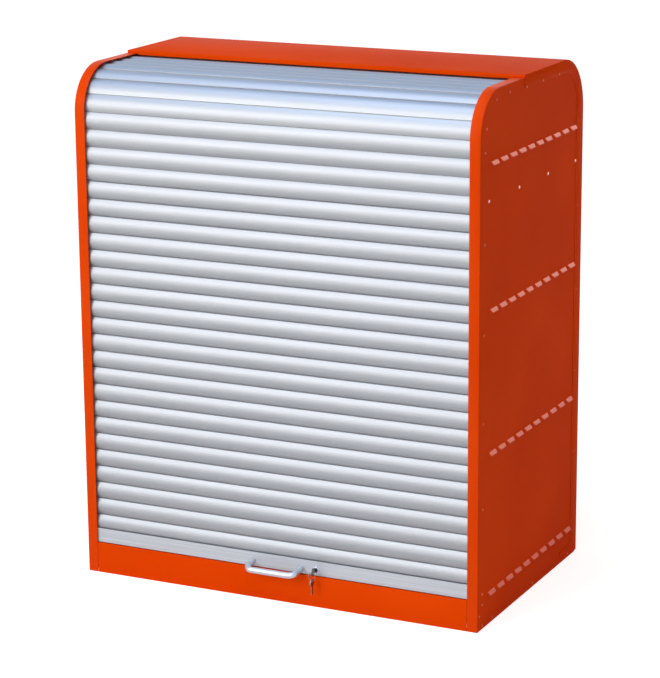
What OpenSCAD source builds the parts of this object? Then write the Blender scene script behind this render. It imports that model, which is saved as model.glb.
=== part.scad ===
/* [Body] */
// Width across the outer faces of the two side panels
body_w = 998; // [900:1:1200]
// Depth of the side panels, front face to rear edge
body_d = 610; // [560:1:700]
// Height of the side panels
body_h = 1204; // [1150:1:1400]
// Radius of the front top corner
front_r = 105; // [90:1:140]
// Radius of the rear top corner
rear_r = 118; // [60:1:150]
// Sheet thickness of the side panels and the plinth
panel_t = 1.5; // [1:0.1:2.5]
// Width of the front edge strip that frames the shutter
strip_w = 25; // [20:1:40]
// Sheet thickness of the front edge strip
strip_t = 1.2; // [0.8:0.1:2]
// Depth of the edge strip's leg behind the side panel
strip_leg = 36; // [30:1:50]
// Height of the plinth under the shutter
plinth_h = 73; // [64:1:90]
// Depth of the plinth's folded top
plinth_top_d = 40; // [32:1:60]

/* [Rear cover] */
// Height of the cover's outer face above the side panels
cover_rise = 6; // [4:0.5:12]
// Sheet thickness of the cover
cover_t = 1; // [0.7:0.1:1.5]
// Distance from the front face to the cover's front lip
cover_front = 246; // [200:1:300]
// Depth of the cover's front lip
cover_lip = 10; // [6:0.5:10]
// Depth of the cover's side flange under its top
cover_flange_top = 24; // [15:1:40]
// Depth of the cover's side flange in front of its back
cover_flange_rear = 33; // [20:1:50]
// Length of the cover's foot tab along the floor
cover_tab_l = 100; // [60:1:160]
// Height of the cover's foot tab
cover_tab_h = 30; // [20:1:50]

/* [Louvres] */
// Louvres in a row
louvre_count = 10; // [4:1:11]
// Rows of louvres up the side
louvre_rows = 4; // [2:1:4]
// Height of the lowest row of louvres
louvre_z = 67.5; // [62:0.5:90]
// Height from row to row
louvre_rise = 324.5; // [250:0.5:330]
// Centre of the first louvre from the front face
louvre_front = 79; // [79:1:90]
// Distance between louvres
louvre_pitch = 52.5; // [45:0.5:52.5]
// Length of a louvre
louvre_l = 37; // [25:1:42]
// Height of a louvre
louvre_h = 7; // [5:0.5:10]
// How far a louvre stands out of the panel
louvre_out = 4.5; // [2.5:0.1:6]

/* [Shutter] */
// Height of one slat, joint to joint
slat_pitch = 40; // [36:1:44]
// Slats from the bottom bar to the straps
slat_count = 34; // [32:1:36]
// Thickness of the slat's wall
slat_t = 1.1; // [0.9:0.1:1.4]
// How far a slat bulges out between its edges
slat_bulge = 5.7; // [4:0.1:6.5]
// Distance of the slat joints behind the front face
hinge_inset = 13.5; // [13:0.1:15]
// Gap between a slat's end and the guide rail
slat_end_gap = 1.8; // [1:0.1:4]
// Radius of the bead along a slat's upper edge
bead_r = 1.8; // [1.4:0.1:2]
// Running clearance between a bead and its socket
bead_gap = 0.3; // [0.25:0.05:0.5]
// Wall of the socket along a slat's lower edge
socket_t = 1.1; // [0.8:0.1:1.3]
// Thickness of the neck that carries the bead
neck_t = 1; // [0.8:0.1:1.2]
// Height of the joint between the bottom bar and the lowest slat, above the plinth
first_joint = 31; // [28:1:40]
// Thickness of the guide rail's sheet
rail_t = 1.5; // [1:0.1:2]
// Depth of the track, from the front face to the rail's rear lip
track_d = 18.5; // [18:0.1:24]
// Where the rails end over the roll box, from the front face
rail_end = 350; // [300:1:370]

/* [Bottom bar] */
// Distance of the bar's face behind the front face of the cabinet
bar_inset = 4; // [2.5:0.5:6]
// Depth of the bar
bar_d = 13; // [12:0.5:13.5]
// Wall thickness of the bar
bar_wall = 1.8; // [1.2:0.1:2.2]
// Height of the bar's underside above the plinth
bar_gap = 1.6; // [1.2:0.1:4]

/* [Handle] */
// Distance between the handle's feet
handle_w = 124; // [100:1:160]
// Radius of the handle's rod
handle_r = 6.2; // [4.5:0.1:7]
// How far the handle stands out, to the middle of the grip
handle_reach = 38; // [30:1:50]
// Bend radius of the handle's corners
handle_bend = 17; // [12:1:24]
// Angle by which the handle hangs below level
handle_droop = 14; // [0:1:20]
// Radius of the handle's screws
screw_r = 2.5; // [2:0.1:3]

/* [Lock] */
// Distance of the lock from the middle of the bar
lock_x = 100; // [85:1:200]
// Radius of the lock's barrel
lock_r = 8; // [7.5:0.1:8.5]
// Radius of the turning plug
plug_r = 5.3; // [5:0.1:5.6]
// Length of the cam from the lock's axis
cam_l = 28; // [24:1:30]
// Width of the cam
cam_w = 12; // [10:1:14]
// Thickness of the cam
cam_t = 2.5; // [2:0.1:3]

/* [Storage] */
// Height of the lower tray shelf
shelf_low_z = 330; // [250:1:420]
// Height of the upper tray shelf
shelf_high_z = 650; // [560:1:700]
// Height of the walls of a tray shelf
tray_h = 40; // [25:1:60]
// Sheet thickness of the trays
tray_t = 1.2; // [1:0.1:2]
// Height of the cabinet's floor
floor_z = 12; // [8:1:16]
// Height of the walls of the sump tray
sump_h = 45; // [30:1:45]
// Depth of an upright, from the side panel to its face
upright_d = 15; // [12:1:20]
// Width of an upright
upright_w = 30; // [24:1:40]
// Distance between the slots in an upright
upright_pitch = 25; // [20:1:32]

/* [Roll box] */
// Height of the roll box above its floor
roll_box_h = 226; // [200:1:260]
// Distance of the roller's axis behind the front face
roller_y = 470; // [450:1:480]
// Height of the roller's axis under the top
roller_drop = 84; // [80:1:100]
// Outer radius of the roller tube
tube_r = 30; // [25:1:35]
// Wall thickness of the roller tube
tube_t = 1.5; // [1:0.1:2]
// Radius of the roller's stub axles
axle_r = 8; // [6:0.5:10]

/* [Hidden] */
$fn = 64;

orange = "#E84300";
orange_dark = "#B8320A";
silver = "#D6DAE0";
steel = "#AEB2B8";
zinc = "#C9CCD0";
black = "#26282B";

front = -body_d / 2;
rear = body_d / 2;
half_w = body_w / 2;
fit = 0.1;
run_gap = 0.3;

panel_in = half_w - panel_t;
leg_in = panel_in - strip_t;
rail_in = leg_in - rail_t;
strip_in = half_w - strip_w;
slat_half = rail_in - slat_end_gap;
hinge_r = front_r - hinge_inset;
socket_r = bead_r + bead_gap + socket_t;
curtain_z = plinth_h + first_joint;
roll_floor_z = body_h - roll_box_h;
moving_slats = floor((roll_floor_z + 6 - curtain_z) / slat_pitch);

// Side outline of the cabinet in (y, z): y0 to y1, z1 high, rounded at both top corners
module profile(y0, y1, z1, rf, rr) {
  translate([y0, 0]) square([rf, z1 - rf]);
  translate([y0 + rf, 0]) square([y1 - rr - y0 - rf, z1]);
  translate([y1 - rr, 0]) square([rr, z1 - rr]);
  translate([y0 + rf, z1 - rf]) intersection() {
    circle(rf, $fn = 128);
    translate([-rf, 0]) square(rf);
  }
  translate([y1 - rr, z1 - rr]) intersection() {
    circle(rr, $fn = 128);
    square(rr);
  }
}

// The outline drawn in by inset at the front, top and rear
module outline(inset = 0) {
  profile(front + inset, rear - inset, body_h - inset, front_r - inset, rear_r - inset);
}

// The strip of the outline between two insets
module band(outer, inner) {
  difference() {
    outline(outer);
    outline(inner);
  }
}

// A (y, z) shape drawn out along X
module along_x(x0, x1) {
  translate([x0, 0, 0]) rotate([90, 0, 90]) linear_extrude(x1 - x0) children();
}

// The left hand is modelled and the right hand is its mirror image
module right_hand() {
  mirror([1, 0, 0]) children();
}

// Everything of a (y, z) shape up to a depth and above a height
module kept_front(depth, z0) {
  intersection() {
    children();
    translate([front - 1, z0]) square([depth + 1, body_h + 10]);
  }
}

// Louvre: a hood pressed out of the sheet and open along its lower edge
louvre_t = 1;
louvre_back = (louvre_h * louvre_h - louvre_out * louvre_out) / (2 * louvre_out);
louvre_taper = 3;

module louvre_form(wall) {
  r = louvre_back + louvre_out - wall;
  deep = wall > 0 ? panel_t + 1 : panel_t / 2;
  intersection() {
    translate([-louvre_back, 0, 0]) rotate([90, 0, 0]) cylinder(r = r, h = louvre_l, center = true);
    translate([0, 0, wall > 0 ? -1 : 0]) linear_extrude(louvre_h + 3)
      polygon([[-deep, -louvre_l / 2 + wall], [0, -louvre_l / 2 + wall],
        [louvre_out, -louvre_l / 2 + louvre_taper + wall], [louvre_out, louvre_l / 2 - louvre_taper - wall],
        [0, louvre_l / 2 - wall], [-deep, louvre_l / 2 - wall]]);
  }
}

// Runs its children at the place of every louvre
module each_louvre() {
  for (row = [0:louvre_rows - 1], k = [0:louvre_count - 1])
    translate([half_w, front + louvre_front + k * louvre_pitch, louvre_z + row * louvre_rise]) children();
}

// Side panel, right-hand side: a flat sheet with its foot and its rear edge folded inwards
panel_inset = strip_t + fit;
rear_fold = 25;
foot_fold = 30;
foot_start = 25;

module side_panel() {
  color(orange) difference() {
    union() {
      along_x(panel_in, half_w) outline(panel_inset);
      translate([half_w - rear_fold, rear - panel_inset - panel_t, 0])
        cube([rear_fold - panel_t / 2, panel_t, body_h - rear_r]);
      translate([half_w - foot_fold, front + foot_start, 0])
        cube([foot_fold - panel_t / 2, body_d - foot_start - panel_inset, panel_t]);
      each_louvre() louvre_form(0);
    }
    each_louvre() louvre_form(louvre_t);
    each_rivet() rotate([0, 90, 0]) cylinder(r = rivet_r + fit, h = 4 * panel_t, center = true);
  }
}

module side_panel_right() { side_panel(); }
module side_panel_left() { right_hand() side_panel(); }

// Edge strip, right-hand side: a face bent round the outline and a leg behind the side panel
strip_tuck = 12;

module edge_strip() {
  color(orange) union() {
    along_x(strip_in, half_w) kept_front(cover_front + strip_tuck, 0) band(0, strip_t);
    along_x(leg_in, panel_in) kept_front(cover_front + strip_tuck, panel_t + fit) band(strip_t / 2, strip_leg);
  }
}

module edge_strip_right() { edge_strip(); }
module edge_strip_left() { right_hand() edge_strip(); }

// Plinth: face, folded top with the keeper slot for the cam, and folded foot
plinth_half = strip_in - 0.5;
plinth_drop = 15;
plinth_foot = 20;
keeper_gap = 1;

module plinth_panel() {
  sweep = sqrt(pow(cam_l + keeper_gap, 2) - pow(lock_z - plinth_h, 2));
  color(orange) difference() {
    along_x(-plinth_half, plinth_half) {
      translate([front, 0]) square([panel_t, plinth_h]);
      translate([front, plinth_h - panel_t]) square([plinth_top_d, panel_t]);
      translate([front + plinth_top_d - panel_t, plinth_h - plinth_drop]) square([panel_t, plinth_drop]);
      translate([front, 0]) square([plinth_foot, panel_t]);
    }
    translate([lock_x - sweep, cam_y - keeper_gap, plinth_h - 2 * panel_t])
      cube([sweep + cam_w / 2 + keeper_gap, cam_t + 2 * keeper_gap, 3 * panel_t]);
  }
}

// Cover: one sheet over the roll box, round the rear corner and down the back, with side flanges
cover_foot = 3;
tab_end_z = 11;

module cover_flange() {
  along_x(half_w, half_w + cover_t) intersection() {
    union() {
      difference() {
        outline(-cover_rise);
        profile(front, rear - cover_flange_rear, body_h - cover_flange_top, front_r,
          rear_r - (cover_flange_top + cover_flange_rear) / 2);
      }
      translate([rear - cover_tab_l, tab_end_z]) square([cover_tab_l, cover_tab_h - tab_end_z]);
    }
    translate([front + cover_front, cover_foot]) square([body_d, body_h + 2 * cover_rise]);
  }
}

module top_rear_cover() {
  lip_top = body_h + cover_rise - cover_t / 2;
  color(orange) {
    along_x(-half_w - cover_t, half_w + cover_t) intersection() {
      band(-cover_rise, cover_t - cover_rise);
      translate([front + cover_front, cover_foot]) square([body_d, body_h + 2 * cover_rise]);
    }
    translate([-half_w - cover_t, front + cover_front, body_h + run_gap])
      cube([2 * (half_w + cover_t), cover_t, lip_top - body_h - run_gap]);
    translate([run_gap - strip_in, front + cover_front, body_h + cover_rise - cover_lip])
      cube([2 * (strip_in - run_gap), cover_t, cover_lip - cover_t / 2]);
    cover_flange();
    right_hand() cover_flange();
  }
}

// Floor: an inverted pan that stands on the folded feet of the side panels
floor_front = plinth_top_d + 3;
floor_rear = 5;
rib_end = foot_fold + 2;

module base_floor() {
  d = body_d - floor_front - floor_rear;
  color(orange_dark) translate([-leg_in, front + floor_front, panel_t]) difference() {
    cube([2 * leg_in, d, floor_z - panel_t]);
    translate([panel_t, panel_t, -1]) cube([2 * (leg_in - panel_t), d - 2 * panel_t, floor_z - 2 * panel_t + 1]);
  }
}

// Rib: a hat channel under the middle of the floor that stands on the ground
rib_w = 60;
rib_lip = 18;

module floor_rib() {
  rib_h = floor_z - panel_t;
  color(orange_dark) along_x(rib_end - leg_in, leg_in - rib_end) {
    translate([-rib_w / 2, 0]) square([rib_w, panel_t]);
    for (s = [0, 1]) mirror([s, 0]) {
      translate([rib_w / 2 - panel_t, 0]) square([panel_t, rib_h]);
      translate([rib_w / 2 - panel_t, rib_h - panel_t]) square([rib_lip, panel_t]);
    }
  }
}

// Open tray with a floor, four walls and a folded rim that points inwards
module tray(half_x, y0, y1, z0, h, rim) {
  translate([-half_x, y0, z0]) difference() {
    cube([2 * half_x, y1 - y0, h]);
    translate([tray_t, tray_t, tray_t]) cube([2 * (half_x - tray_t), y1 - y0 - 2 * tray_t, h - 2 * tray_t]);
    translate([rim, rim, tray_t]) cube([2 * (half_x - rim), y1 - y0 - 2 * rim, h]);
  }
}

// Sump: a frame of folded walls with a welded floor sheet, and the grate that lies on its rim
sump_half = leg_in - 6;
sump_front = floor_front + 4;
sump_rear = rear_fold + 10;
sump_rim = 14;
grate_t = 3;
grate_gap = 2;
grate_cols = 10;
grate_rows = 16;
grate_bar = 12;
weld_gap = 0.05;

module sump_tray() {
  color(zinc) difference() {
    tray(sump_half, front + sump_front, rear - sump_rear, floor_z, sump_h, sump_rim);
    sump_sheet(0, 1);
  }
}

module sump_floor() { color(zinc) sump_sheet(weld_gap, 0); }

// The floor sheet inside the frame's lower flanges
module sump_sheet(gap, over) {
  edge = sump_rim + gap;
  translate([-sump_half + edge, front + sump_front + edge, floor_z - over])
    cube([2 * (sump_half - edge), body_d - sump_front - sump_rear - 2 * edge, tray_t + 2 * over]);
}

module sump_grate() {
  w = 2 * (sump_half - grate_gap);
  d = body_d - sump_front - sump_rear - 2 * grate_gap;
  cell_x = (w - grate_bar) / grate_cols;
  cell_y = (d - grate_bar) / grate_rows;
  color(zinc) translate([-w / 2, front + sump_front + grate_gap, floor_z + sump_h]) difference() {
    cube([w, d, grate_t]);
    for (i = [0:grate_cols - 1], j = [0:grate_rows - 1])
      translate([grate_bar + i * cell_x, grate_bar + j * cell_y, -1])
        cube([cell_x - grate_bar, cell_y - grate_bar, grate_t + 2]);
  }
}

// Uprights: slotted channels on the side panels that carry the shelf clips
upright_front = 62;
upright_rear = 62;
upright_t = 1.5;
upright_foot = 90;
upright_head = 14;
slot_w = 12;
slot_h = 4;
upright_face = panel_in - upright_d;

module upright(y) {
  top = roll_floor_z - flange_h - upright_head;
  slots = floor((top - upright_foot - upright_pitch) / upright_pitch);
  color(zinc) difference() {
    translate([upright_face, y - upright_w / 2, upright_foot]) cube([upright_d, upright_w, top - upright_foot]);
    translate([upright_face + upright_t, y - upright_w / 2 + upright_t, upright_foot - 1])
      cube([upright_d, upright_w - 2 * upright_t, top - upright_foot + 2]);
    for (k = [1:slots]) translate([upright_face - 1, y - slot_w / 2, upright_foot + k * upright_pitch])
      cube([upright_t + 2, slot_w, slot_h]);
  }
}

module upright_front_right() { upright(front + upright_front); }
module upright_front_left() { right_hand() upright(front + upright_front); }
module upright_rear_right() { upright(rear - upright_rear); }
module upright_rear_left() { right_hand() upright(rear - upright_rear); }

// Shelf clips: a tongue in the slot, a plate against the upright and a ledge under the shelf
clip_w = 10;
clip_t = 2;
clip_ledge = 12;
clip_drop = 14;
tongue_l = 5;

// The upright's slot next under a height
function slot_under(z) = upright_foot + upright_pitch * floor((z - clip_t - upright_foot) / upright_pitch);

module shelf_clip(z) {
  top = slot_under(z) + slot_h - fit;
  translate([upright_face, -clip_w / 2, 0]) {
    translate([-clip_ledge, 0, top - clip_t]) cube([clip_ledge + upright_t + tongue_l, clip_w, clip_t]);
    translate([-clip_t, 0, top - clip_drop]) cube([clip_t, clip_w, clip_drop]);
    translate([upright_t + fit, 0, top - clip_t - 4]) cube([clip_t, clip_w, 5]);
  }
}

module shelf_clips(z) {
  color(steel) for (side = [0, 1]) mirror([side, 0, 0]) {
    translate([0, front + upright_front, 0]) shelf_clip(z);
    translate([0, rear - upright_rear, 0]) shelf_clip(z);
  }
}

module shelf_clips_low() { shelf_clips(shelf_low_z); }
module shelf_clips_high() { shelf_clips(shelf_high_z); }

// Tray shelves on their clips
shelf_side_gap = 2.5;
shelf_front = 34;
shelf_rear = rear_fold + 8;
shelf_rim = 10;

module tray_shelf(z) {
  color(zinc) tray(upright_face - shelf_side_gap, front + shelf_front, rear - shelf_rear,
    slot_under(z) + slot_h - fit, tray_h, shelf_rim);
}

module tray_shelf_low() { tray_shelf(shelf_low_z); }
module tray_shelf_high() { tray_shelf(shelf_high_z); }

// Floor of the roll box: a fixed shelf with flanges, riveted through the side panels
flange_h = 26;
roll_floor_front = 40;
roll_floor_rear = rear_fold + 5;
rivet_r = 2;
rivet_head_r = 3.6;
rivet_head_h = 1.6;
rivet_tail = 1.4;
rivet_count = 4;
rivet_first = 50;
rivet_inset = 38;
rivet_last = body_d - rivet_inset;

module each_rivet() {
  for (k = [0:rivet_count - 1])
    translate([half_w, front + rivet_first + k * (rivet_last - rivet_first) / (rivet_count - 1),
      roll_floor_z - flange_h / 2]) children();
}

module roll_box_floor() {
  half_x = panel_in;
  d = body_d - roll_floor_front - roll_floor_rear;
  color(orange_dark) difference() {
    translate([-half_x, front + roll_floor_front, roll_floor_z - flange_h]) cube([2 * half_x, d, flange_h]);
    translate([panel_t - half_x, front + roll_floor_front + panel_t, roll_floor_z - flange_h - 1])
      cube([2 * (half_x - panel_t), d - 2 * panel_t, flange_h - panel_t + 1]);
    for (side = [0, 1]) mirror([side, 0, 0])
      each_rivet() rotate([0, 90, 0]) cylinder(r = rivet_r + fit, h = 8 * panel_t, center = true);
  }
}

module rivet() {
  dome_r = (rivet_head_r * rivet_head_r + rivet_head_h * rivet_head_h) / (2 * rivet_head_h);
  rotate([0, 90, 0]) {
    rotate_extrude() intersection() {
      translate([0, rivet_head_h - dome_r]) circle(dome_r);
      square([rivet_head_r, rivet_head_h]);
    }
    translate([0, 0, -2 * panel_t - rivet_tail]) cylinder(r = rivet_r, h = 2 * panel_t + rivet_tail + 0.5);
    translate([0, 0, -2 * panel_t - rivet_tail]) cylinder(r = rivet_r + 0.8, h = rivet_tail);
  }
}

module roll_box_rivets() {
  color(silver) for (side = [0, 1]) mirror([side, 0, 0]) each_rivet() rivet();
}

// Guide rails, right-hand side: a web on the edge strip's leg and a lip behind the slats
rail_foot = 10;
rail_lip_w = 20;

module guide_rail() {
  color(steel) {
    along_x(rail_in, leg_in) kept_front(rail_end, rail_foot) band(strip_t + fit, track_d + rail_t);
    along_x(leg_in - rail_lip_w, leg_in) kept_front(rail_end, rail_foot) band(track_d, track_d + rail_t);
  }
}

module guide_rail_right() { guide_rail(); }
module guide_rail_left() { right_hand() guide_rail(); }

// Slat section: u runs up the shutter, v outwards, and the joint to the slat below is the origin
apron = 2.6;
apron_gap = 0.7;
shell_edge = 2.8;
shell_top = slat_pitch - apron - apron_gap;
shell_mid = (shell_top - apron) / 2;
shell_r = (pow((shell_top + apron) / 2, 2) + slat_bulge * slat_bulge) / (2 * slat_bulge);
mouth_front = 155;
mouth_rear = 232;

// A sector that opens a socket, between two angles
module wedge(a0, a1, r) {
  polygon([[0, 0], for (i = [0:4]) r * [cos(a0 + (a1 - a0) * i / 4), sin(a0 + (a1 - a0) * i / 4)]]);
}

// Socket along a lower edge, open towards the neck of the slat below
module socket_section() {
  difference() {
    circle(socket_r);
    circle(bead_r + bead_gap);
    wedge(mouth_front, mouth_rear, 2 * socket_r);
  }
}

// Bead on its neck, along an upper edge
module bead_section(neck_l) {
  circle(bead_r);
  translate([-neck_l, -neck_t / 2]) square([neck_l, neck_t]);
}

module slat_section() {
  web_u = slat_pitch - socket_r - bead_gap - neck_t;
  intersection() {
    translate([shell_mid, shell_edge + slat_bulge - shell_r]) difference() {
      circle(shell_r, $fn = 128);
      circle(shell_r - slat_t, $fn = 128);
    }
    translate([-apron, 0]) square([shell_top + apron, shell_edge + slat_bulge + 1]);
  }
  socket_section();
  translate([slat_pitch, 0]) bead_section(slat_pitch - web_u);
  translate([web_u, -neck_t / 2]) square([neck_t, shell_edge]);
}

// The joint line runs up the front, round the front corner and back along the top
arc_y = front + front_r;
arc_z = body_h - front_r;

// The next joint along the track, one pitch on from a joint at (y, z)
function next_joint(p) =
  p[1] + slat_pitch <= arc_z && p[0] < arc_y ? [p[0], p[1] + slat_pitch] :
  let (a = [arc_y - p[0], p[1] - arc_z], reach = norm(a),
    turn = acos((hinge_r * hinge_r + reach * reach - slat_pitch * slat_pitch) / (2 * hinge_r * reach)),
    angle = atan2(a[1], a[0]) + turn)
  p[0] < arc_y && angle <= 90 ? [arc_y - hinge_r * cos(angle), arc_z + hinge_r * sin(angle)] :
  let (rise = arc_z + hinge_r - p[1])
  [p[0] + sqrt(slat_pitch * slat_pitch - rise * rise), arc_z + hinge_r];

function joints_from(p, count) = count == 0 ? [p] : concat([p], joints_from(next_joint(p), count - 1));
joint_line = joints_from([front + hinge_inset, curtain_z], slat_count);

// Slat number k, laid between its two joints
module slat(k) {
  p = joint_line[k];
  q = joint_line[k + 1];
  along_x(-slat_half, slat_half) translate(p) rotate(atan2(q[1] - p[1], q[0] - p[0])) slat_section();
}

module slats_front() { color(silver) for (k = [0:moving_slats - 1]) slat(k); }
module slats_overhead() { color(silver) for (k = [moving_slats:slat_count - 1]) slat(k); }

// Roller: its axis, and the straps that hang the shutter from it
axis_y = front + roller_y;
axis_z = body_h - roller_drop;
strap_t = 1;
strap_w = 30;
strap_count = 3;
strap_spread = 760;
strap_wrap = 150;

module strap_section() {
  p = joint_line[slat_count];
  r = tube_r + run_gap + strap_t / 2;
  to_p = [p[0] - axis_y, p[1] - axis_z];
  start = atan2(to_p[1], to_p[0]) - acos(r / norm(to_p));
  touch = [axis_y, axis_z] + r * [cos(start), sin(start)];
  run = touch - p;
  translate(p) rotate(atan2(run[1], run[0])) {
    rotate(12) socket_section();
    translate([socket_r - strap_t / 2, -0.45 * strap_t])
      square([norm(run) - socket_r + strap_t, 0.9 * strap_t]);
  }
  translate([axis_y, axis_z]) intersection() {
    difference() {
      circle(r + strap_t / 2, $fn = 128);
      circle(r - strap_t / 2, $fn = 128);
    }
    wedge(start - strap_wrap, start, 2 * tube_r);
  }
}

module suspension_straps() {
  step = strap_spread / (strap_count - 1);
  color(steel) for (k = [0:strap_count - 1]) {
    x = -strap_spread / 2 + k * step;
    along_x(x - strap_w / 2, x + strap_w / 2) strap_section();
  }
}

// Roller bracket, right-hand side: a plate on the side panel with a hub for the bush
plate_t = 3;
plate_w = 100;
plate_h = 90;
plate_r = 12;
hub_r = 17;
hub_l = 14;
bush_t = 3;
bolt_r = 3;
bolt_inset = 14;

module each_bracket_bolt() {
  for (i = [-1, 1], j = [-1, 1])
    translate([panel_in, axis_y + i * (plate_w / 2 - bolt_inset), axis_z + j * (plate_h / 2 - bolt_inset)])
      rotate([0, 90, 0]) children();
}

module roller_bracket() {
  color(steel) difference() {
    union() {
      along_x(panel_in - plate_t, panel_in) translate([axis_y, axis_z]) {
        square([plate_w - 2 * plate_r, plate_h], center = true);
        square([plate_w, plate_h - 2 * plate_r], center = true);
        for (i = [-1, 1], j = [-1, 1])
          translate([i * (plate_w / 2 - plate_r), j * (plate_h / 2 - plate_r)]) circle(plate_r);
      }
      translate([panel_in - plate_t - hub_l, axis_y, axis_z]) rotate([0, 90, 0])
        cylinder(r = hub_r, h = hub_l + plate_t / 2);
    }
    translate([panel_in - plate_t - hub_l - 1, axis_y, axis_z]) rotate([0, 90, 0])
      cylinder(r = axle_r + bush_t, h = hub_l + plate_t + 2);
    each_bracket_bolt() cylinder(r = bolt_r + fit, h = 4 * plate_t, center = true);
  }
}

module roller_bush() {
  color(black) translate([panel_in - plate_t - hub_l, axis_y, axis_z]) rotate([0, 90, 0]) difference() {
    cylinder(r = axle_r + bush_t, h = hub_l + plate_t);
    translate([0, 0, -1]) cylinder(r = axle_r + axle_fit, h = hub_l + plate_t + 2);
  }
}

module roller_bracket_right() { roller_bracket(); }
module roller_bracket_left() { right_hand() roller_bracket(); }
module roller_bush_right() { roller_bush(); }
module roller_bush_left() { right_hand() roller_bush(); }

module bracket_bolts() {
  color(zinc) for (side = [0, 1]) mirror([side, 0, 0]) each_bracket_bolt() {
    translate([0, 0, -plate_t - 4]) cylinder(r = 5.5, h = 4, $fn = 6);
    translate([0, 0, -plate_t - 2]) cylinder(r = bolt_r, h = plate_t + 2);
  }
}

// Roller tube with its end caps and stub axles
axle_fit = 0.08;
cap_gap = 2;
cap_flange_t = 3;
cap_plug_l = 25;
tube_half = panel_in - plate_t - hub_l - cap_gap - cap_flange_t;

module roller_tube() {
  color(zinc) translate([-tube_half, axis_y, axis_z]) rotate([0, 90, 0]) difference() {
    cylinder(r = tube_r, h = 2 * tube_half);
    translate([0, 0, -1]) cylinder(r = tube_r - tube_t, h = 2 * tube_half + 2);
  }
}

module roller_cap() {
  color(black) translate([tube_half, axis_y, axis_z]) rotate([0, 90, 0]) {
    translate([0, 0, -cap_plug_l]) cylinder(r = tube_r - tube_t - fit, h = cap_plug_l + 1);
    cylinder(r = tube_r, h = cap_flange_t);
    cylinder(r = axle_r, h = cap_flange_t + cap_gap + hub_l + plate_t - 1);
  }
}

module roller_cap_right() { roller_cap(); }
module roller_cap_left() { right_hand() roller_cap(); }

// Bottom bar: a hollow flat bar with a bead along its top and a groove for the seal
bar_face = front + bar_inset;
bar_back = bar_face + bar_d;
bar_z = plinth_h + bar_gap;
bar_top = curtain_z - socket_r - 0.5;
lock_z = (bar_z + bar_top) / 2;
groove_w = 3.2;
seal_in = 5;
seal_y = bar_face + seal_in;

module bottom_bar() {
  color(silver) difference() {
    along_x(-slat_half, slat_half) {
      difference() {
        translate([bar_face, bar_z]) square([bar_d, bar_top - bar_z]);
        translate([bar_face + bar_wall, bar_z + bar_wall])
          square([bar_d - 2 * bar_wall, bar_top - bar_z - 2 * bar_wall]);
        translate([seal_y - groove_w / 2, bar_z - 1]) square([groove_w, bar_wall + 2]);
      }
      translate([front + hinge_inset, curtain_z]) rotate(90) bead_section(curtain_z - bar_top + bar_wall / 2);
    }
    for (s = [-1, 1]) translate([s * handle_w / 2, bar_face - 1, lock_z]) rotate([-90, 0, 0])
      cylinder(r = screw_r + run_gap, h = bar_d + 2);
    translate([lock_x, bar_face - 1, lock_z]) rotate([-90, 0, 0]) cylinder(r = lock_r + fit, h = bar_d + 2);
  }
}

// Seal: a rubber foot under the bar, held by a head inside the bar
module bar_seal() {
  color(black) along_x(-slat_half, slat_half) {
    translate([seal_y - 4, plinth_h + run_gap]) square([8, bar_gap - run_gap - fit]);
    translate([seal_y - groove_w / 2 + fit, plinth_h + 1]) square([groove_w - 2 * fit, bar_gap + bar_wall + 0.5]);
    translate([seal_y - 2.4, bar_z + bar_wall + fit]) square([4.8, 1.6]);
  }
}

// Glides: plastic plugs in the ends of the bar that run in the rails
glide_t = 1.2;
glide_l = 20;
glide_foot = 2.5;

module bar_end_glides() {
  color(black) for (side = [0, 1]) mirror([side, 0, 0]) {
    translate([slat_half, bar_face, bar_z]) cube([glide_t, bar_d, bar_top - bar_z]);
    translate([slat_half - glide_l, bar_face + bar_wall + fit, bar_z + bar_wall + glide_foot])
      cube([glide_l + glide_t / 2, bar_d - 2 * (bar_wall + fit), bar_top - bar_z - 2 * bar_wall - glide_foot - fit]);
  }
}

// Handle: a round rod bent into a bow, screwed on from behind the bar
thread_l = 10;

module pull_handle() {
  color(silver) difference() {
    translate([0, bar_face, lock_z]) rotate([handle_droop, 0, 0]) {
      for (s = [-1, 1]) {
        translate([s * handle_w / 2, handle_bend - handle_reach, 0]) rotate([-90, 0, 0])
          cylinder(r = handle_r, h = handle_reach - handle_bend + handle_r);
        translate([s * (handle_w / 2 - handle_bend), handle_bend - handle_reach, 0])
          rotate(s > 0 ? -90 : 180) rotate_extrude(angle = 90) translate([handle_bend, 0]) circle(handle_r);
      }
      translate([0, -handle_reach, 0]) rotate([0, 90, 0])
        cylinder(r = handle_r, h = handle_w - 2 * handle_bend, center = true);
    }
    translate([-handle_w, bar_face, lock_z - 3 * handle_r]) cube([2 * handle_w, bar_d, 6 * handle_r]);
    for (s = [-1, 1]) translate([s * handle_w / 2, bar_face - thread_l, lock_z]) rotate([-90, 0, 0])
      cylinder(r = screw_r + fit, h = thread_l + 1);
  }
}

module handle_screws() {
  color(zinc) for (s = [-1, 1]) translate([s * handle_w / 2, bar_back, lock_z]) rotate([90, 0, 0]) {
    translate([0, 0, -2.8]) cylinder(r = 2 * screw_r - 0.5, h = 2.8);
    translate([0, 0, -1]) cylinder(r = screw_r, h = bar_d + thread_l);
  }
}

// Cam lock in the bar: barrel, nut, turning plug with its keyway, cam and screw
bezel_r = 9.5;
bezel_t = 3.5;
nut_t = 3;
barrel_tail = 4;
plug_gap = 0.15;
tail_r = 3.2;
tail_l = cam_t + 0.3;
cam_y = bar_back + barrel_tail + 0.6;
key_w = 6.4;
key_t = 1.8;
key_l = 16;
keyway_gap = 0.2;

// Turns a part about the lock's axis, with +Z of the part pointing out of the lock
module at_lock(y) {
  translate([lock_x, y, lock_z]) rotate([90, 0, 0]) children();
}

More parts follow.
